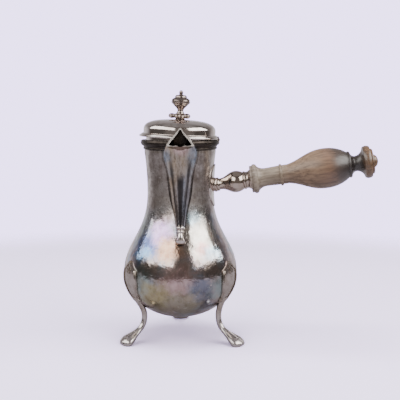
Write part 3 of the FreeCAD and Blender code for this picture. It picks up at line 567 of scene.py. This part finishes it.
@dataclass(frozen=True)
class PolishedSilver:
    """Rubbed silver of the cast and turned pieces, with grime and painted shade darkening its corners."""

    name: str
    clean: Colour
    warm: Colour
    # Near-black colour for tarnish and painted shade in corners.
    tarnish_and_shade: Colour = (0.05, 0.04, 0.032)
    smooth: float = 0.08
    smeared: float = 0.17
    corner: float = 0.0016
    dents: float = 0.12
    rubbed: Colour | None = None
    rubbed_top: float = 0.03
    smear: Grain = Grain(150.0, 6.0, 0.62)
    smear_warm: Fade = Fade(0.40, 0.66)
    smear_rough: tuple[float, float] = (0.35, 0.7)
    corner_tarnish_and_shade: Fade = Fade(0.50, 0.15)
    soft_dents: Relief = Relief(Grain(90.0, 2.0, 0.5), 0.0004)

    def build(self) -> bpy.types.Material:
        """Makes the material.

        Returns:
            The material.
        """
        material, sheet = new_sheet(self.name)
        place = sheet.place()
        smear = sheet.noise(place, self.smear)
        colour = sheet.mix(sheet.span(smear, self.smear_warm), self.clean, self.warm)
        if self.rubbed:
            low = sheet.span(sheet.axes(place)["Z"], Fade(self.rubbed_top, self.rubbed_top / 2))
            colour = sheet.mix(low, colour, self.rubbed)
        # Painted shade: ambient occlusion darkens the corners towards near black, together with their
        # tarnish.
        if self.corner:
            colour = sheet.mix(sheet.span(sheet.shelter(self.corner), self.corner_tarnish_and_shade), colour, self.tarnish_and_shade)
        rough = sheet.span(smear, Fade(*self.smear_rough, self.smooth, self.smeared))
        normal = sheet.bump(sheet.noise(place, self.soft_dents.grain), self.soft_dents.depth, self.dents)
        show(sheet, {"Base Color": colour, "Metallic": 1.0, "Roughness": rough, "Normal": normal})
        return material


BRIGHT_PIECES = PolishedSilver("bright_silver_surface", (0.72, 0.67, 0.64), (0.54, 0.47, 0.43))
# Painted shade: the collar is made nearly black for the shade under the lid's overhanging flange, as well as
# for heavy tarnish.
TARNISHED_AND_SHADED_COLLAR = PolishedSilver("collar_tarnish_and_painted_shade", (0.062, 0.052, 0.046), (0.04, 0.034, 0.03),
                             smooth=0.34, smeared=0.46)
CAST_LEGS = PolishedSilver("cast_leg_surface", (0.53, 0.475, 0.43), (0.34, 0.285, 0.24),
                           smooth=0.18, smeared=0.32, corner=0.0006, dents=0.25, rubbed=(0.62, 0.57, 0.57))
TURNED_PIECES = PolishedSilver("turned_silver_surface", (0.56, 0.48, 0.42), (0.46, 0.375, 0.315),
                               corner=0.0, dents=0.03)
DARK_KNOB = PolishedSilver("dark_knob_surface", (0.37, 0.31, 0.285), (0.32, 0.265, 0.24),
                           smooth=0.20, smeared=0.23, corner=0.0, dents=0.0)


@dataclass(frozen=True)
class TurnedWood:
    """Old fruitwood: weathered grey towards the pot, brown on the swell and nearly black at the end."""

    name: str = "turned_wood_surface"
    axis_height: float = 0.1325
    rise: float = math.radians(9.0)
    turn: float = math.radians(-6.0)
    start: float = 0.062
    end: float = 0.174
    zones: tuple[Stop, ...] = (
        (0.00, (0.37, 0.31, 0.26)), (0.10, (0.34, 0.28, 0.22)), (0.24, (0.31, 0.245, 0.185)),
        (0.31, (0.29, 0.205, 0.145)), (0.50, (0.28, 0.185, 0.122)), (0.62, (0.22, 0.13, 0.085)),
        (0.70, (0.08, 0.055, 0.045)), (0.77, (0.024, 0.02, 0.02)), (0.855, (0.025, 0.02, 0.018)),
        (0.90, (0.15, 0.085, 0.048)), (1.00, (0.22, 0.125, 0.065)))
    pith: Colour = (0.03, 0.018, 0.012)
    pith_share: float = 0.5
    fibre: Grain = Grain(520.0, 6.0, 0.62)
    fibre_length: float = 14.0
    fibre_dark: Fade = Fade(0.62, 0.36)
    fibre_rough: Fade = Fade(0.3, 0.7, 0.46, 0.32)
    fibre_depth: float = 0.0003
    fibre_strength: float = 0.25
    pores: Grain = Grain(1900.0, 3.0, 0.6)
    pore_length: float = 10.0
    pore_dark: Fade = Fade(0.60, 0.70, 0.0, 0.45)
    clouds: Grain = Grain(60.0, 4.0, 0.55)
    drift: float = 0.02
    polish: Fade = Fade(0.45, 0.74, 0.1, 1.0)
    polish_rough: float = 0.34

    def build(self) -> bpy.types.Material:
        """Makes the material.

        Returns:
            The material.
        """
        material, sheet = new_sheet(self.name)
        along = {"location": (0.0, 0.0, self.axis_height), "rotation": (0.0, -self.rise, self.turn)}
        fibre = sheet.noise(sheet.place(scale=(self.fibre_length, 1.0, 1.0), **along), self.fibre)
        pores = sheet.noise(sheet.place(scale=(self.pore_length, 1.0, 1.0), **along), self.pores)
        share = self.station(sheet, sheet.place(**along))
        zone = sheet.ramp(share, self.zones)
        dark = sheet.mix(self.pith_share, zone, self.pith)
        colour = sheet.mix(sheet.span(fibre, self.fibre_dark), zone, dark)
        colour = sheet.mix(sheet.span(pores, self.pore_dark), colour, dark)
        show(sheet, {"Base Color": colour, "Roughness": sheet.span(fibre, self.fibre_rough),
                     "Normal": sheet.bump(fibre, self.fibre_depth, self.fibre_strength),
                     "Coat Weight": sheet.span(share, self.polish), "Coat Roughness": self.polish_rough})
        return material

    def station(self, sheet: NodeSheet, place: Any) -> bpy.types.NodeSocket:
        """Share of the grip's length from its flange to its end, with an uneven edge.

        Args:
            sheet: Nodes of the material.
            place: Socket of the coordinates along the grip.

        Returns:
            The socket of the share.
        """
        cloud = sheet.math("SUBTRACT", sheet.noise(place, self.clouds), 0.5)
        station = sheet.math("ADD", sheet.axes(place)["X"], sheet.math("MULTIPLY", cloud, self.drift))
        inputs = {"Value": station, "From Min": self.start, "From Max": self.end}
        return sheet.add("ShaderNodeMapRange", inputs).outputs["Result"]


@dataclass
class PotBody:
    """Vessel, spout, mouldings, legs, socket and grip of the pot."""

    raised: tuple[str, ...] = ("vessel",)
    beak: tuple[str, ...] = ("spout",)
    collar: tuple[str, ...] = ("mouth_moulding", "neck_wire")
    cast: tuple[str, ...] = ("leg_front_left", "leg_front_right", "leg_back")
    polished: tuple[str, ...] = ("spout_drop", "socket_plate", "pot_hinge_leaf", "hinge_pin")
    turned: tuple[str, ...] = ("handle_socket", "handle_pin")
    wooden: tuple[str, ...] = ("handle_grip",)

    def dress(self, nodes: dict[str, bpy.types.Object], finishes: dict[Finish, bpy.types.Material]) -> None:
        """Gives the pieces of the pot their finish.

        Args:
            nodes: Nodes of the frame by name.
            finishes: Materials by finish.
        """
        dress_nodes(nodes, self.raised, finishes[Finish.RAISED])
        dress_nodes(nodes, self.beak, finishes[Finish.SPOUT])
        dress_nodes(nodes, self.collar, finishes[Finish.COLLAR])
        dress_nodes(nodes, self.cast, finishes[Finish.CAST])
        dress_nodes(nodes, self.polished, finishes[Finish.BRIGHT])
        dress_nodes(nodes, self.turned, finishes[Finish.TURNED])
        dress_nodes(nodes, self.wooden, finishes[Finish.WOOD])


@dataclass
class Lid:
    """Domed lid with its moulding, bezel, hinge leaf and finial."""

    polished: tuple[str, ...] = ("lid_cap", "lid_moulding", "lid_bezel", "lid_hinge_leaf", "finial_nut")
    knob: tuple[str, ...] = ("finial_rosette", "finial_knob")

    def dress(self, nodes: dict[str, bpy.types.Object], finishes: dict[Finish, bpy.types.Material]) -> None:
        """Gives the pieces of the lid their finish.

        Args:
            nodes: Nodes of the frame by name.
            finishes: Materials by finish.
        """
        dress_nodes(nodes, self.polished, finishes[Finish.BRIGHT])
        dress_nodes(nodes, self.knob, finishes[Finish.KNOB])


def dress_nodes(nodes: dict[str, bpy.types.Object], names: tuple[str, ...],
                material: bpy.types.Material) -> None:
    """Puts a material on nodes of the frame.

    Args:
        nodes: Nodes of the frame by name.
        names: Nodes to dress.
        material: Their material.
    """
    for name in names:
        for slot in nodes[name].material_slots:
            slot.material = material
        LOG.info("%s dressed with %s", name, material.name)


@dataclass
class SoftBox:
    """A large rectangular light beside the pot."""

    name: str
    side: float
    distance: float
    width: float
    height: float
    foot: float
    power: float
    colour: Colour = (1.0, 0.97, 0.94)

    def build(self) -> None:
        """Hangs the light and turns it to the pot."""
        data = bpy.data.lights.new(self.name, "AREA")
        data.shape = "RECTANGLE"
        data.size = self.width
        data.size_y = self.height
        data.energy = self.power
        data.color = self.colour
        light = bpy.data.objects.new(self.name, data)
        bpy.context.scene.collection.objects.link(light)
        turn = math.radians(self.side)
        light.location = (math.sin(turn) * self.distance, -math.cos(turn) * self.distance,
                          self.foot + self.height / 2)
        light.rotation_euler = (math.pi / 2, 0.0, turn)


@dataclass
class Studio:
    """Pale floor, soft lights, plain surroundings and the camera."""

    floor_radius: float = 0.68
    floor_solid: float = 0.46
    floor_colour: Colour = (0.36, 0.34, 0.38)
    floor_seen: Colour = (1.42, 1.26, 1.84)
    backdrop: Colour = (3.2, 2.65, 4.6)
    room: Colour = (0.10, 0.088, 0.082)
    front: Colour = (0.20, 0.178, 0.168)
    front_edge: Fade = Fade(-0.55, -0.85)
    behind: Colour = (1.05, 1.00, 1.06)
    behind_edge: Fade = Fade(0.20, 0.92)
    behind_high: Colour = (0.46, 0.43, 0.44)
    behind_rise: Fade = Fade(0.02, 0.40)
    ceiling: Colour = (0.32, 0.30, 0.30)
    ceiling_edge: Fade = Fade(0.78, 0.95)
    top_size: float = 0.8
    top_height: float = 1.3
    top_power: float = 14.0
    camera_place: Colour = (0.0, -0.722, 0.208)
    camera_pitch: float = 6.68
    camera_yaw: float = 1.383
    focal_pixels: float = 820.0
    frame_pixels: float = 400.0
    boxes: list[SoftBox] = field(default_factory=lambda: [
        SoftBox("left_window", -62.0, 0.95, 2.0, 1.0, 0.44, 22.0),
        SoftBox("right_window", 66.0, 0.95, 1.30, 1.0, 0.42, 21.0)])

    def build(self) -> None:
        """Sets up the whole studio."""
        self.build_floor()
        self.build_world()
        for box in self.boxes:
            box.build()
        self.build_top_light()
        self.build_camera()

    def build_floor(self) -> None:
        """Makes the floor, which fades out into the backdrop."""
        mesh = bpy.data.meshes.new("floor")
        shape = bmesh.new()
        bmesh.ops.create_circle(shape, cap_ends=True, segments=FLOOR_SEGMENTS, radius=self.floor_radius)
        shape.to_mesh(mesh)
        shape.free()
        floor = bpy.data.objects.new("floor", mesh)
        bpy.context.scene.collection.objects.link(floor)
        material, sheet = new_sheet("pale_floor")
        reach = sheet.vector("LENGTH", sheet.place())["Value"]
        seen = sheet.add("ShaderNodeLightPath").outputs["Is Camera Ray"]
        paint = sheet.mix(seen, self.floor_colour, self.floor_seen)
        solid = sheet.add("ShaderNodeBsdfDiffuse", {"Color": paint}).outputs["BSDF"]
        clear = sheet.add("ShaderNodeBsdfTransparent").outputs["BSDF"]
        share = sheet.span(reach, Fade(self.floor_solid, self.floor_radius))
        both = sheet.add("ShaderNodeMixShader", {0: share, 1: solid, 2: clear}).outputs[0]
        sheet.add("ShaderNodeOutputMaterial", {"Surface": both})
        mesh.materials.append(material)

    def build_world(self) -> None:
        """Makes the surroundings: a plain backdrop, and a dim room that the silver mirrors."""
        world = bpy.data.worlds.new("studio")
        bpy.context.scene.world = world
        world.use_nodes = True
        sheet = NodeSheet(world.node_tree)
        axes = sheet.axes(sheet.add("ShaderNodeTexCoord").outputs["Generated"])
        room = sheet.mix(sheet.span(axes["Y"], self.front_edge), self.room, self.front)
        wall = sheet.mix(sheet.span(axes["Z"], self.behind_rise), self.behind, self.behind_high)
        room = sheet.mix(sheet.span(axes["Y"], self.behind_edge), room, wall)
        room = sheet.mix(sheet.span(axes["Z"], self.ceiling_edge), room, self.ceiling)
        seen = sheet.add("ShaderNodeLightPath").outputs["Is Camera Ray"]
        glow = sheet.add("ShaderNodeBackground", {"Color": sheet.mix(seen, room, self.backdrop)})
        sheet.add("ShaderNodeOutputWorld", {"Surface": glow.outputs[0]})

    def build_top_light(self) -> None:
        """Hangs a soft light overhead that the silver does not mirror."""
        data = bpy.data.lights.new("top_light", "AREA")
        data.size = self.top_size
        data.energy = self.top_power
        light = bpy.data.objects.new("top_light", data)
        light.location = (0.0, 0.0, self.top_height)
        light.visible_glossy = False
        bpy.context.scene.collection.objects.link(light)

    def build_camera(self) -> None:
        """Sets the camera at the photograph's viewing angle."""
        data = bpy.data.cameras.new("camera")
        data.sensor_fit = "HORIZONTAL"
        data.lens = self.focal_pixels / self.frame_pixels * data.sensor_width
        camera = bpy.data.objects.new("camera", data)
        bpy.context.scene.collection.objects.link(camera)
        camera.location = self.camera_place
        camera.rotation_euler = (math.radians(90.0 - self.camera_pitch), 0.0, math.radians(-self.camera_yaw))
        bpy.context.scene.camera = camera


def main() -> None:
    """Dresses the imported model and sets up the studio."""
    logging.basicConfig(level=logging.INFO, format="%(message)s")
    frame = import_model()
    finishes = {
        Finish.RAISED: RAISED_BODY.build(),
        Finish.SPOUT: FLUTED_SPOUT.build(),
        Finish.BRIGHT: BRIGHT_PIECES.build(),
        Finish.COLLAR: TARNISHED_AND_SHADED_COLLAR.build(),
        Finish.CAST: CAST_LEGS.build(),
        Finish.TURNED: TURNED_PIECES.build(),
        Finish.KNOB: DARK_KNOB.build(),
        Finish.WOOD: TurnedWood().build()}
    PotBody().dress(frame["nodes"], finishes)
    Lid().dress(frame["nodes"], finishes)
    Studio().build()


if __name__ == "__main__":
    main()
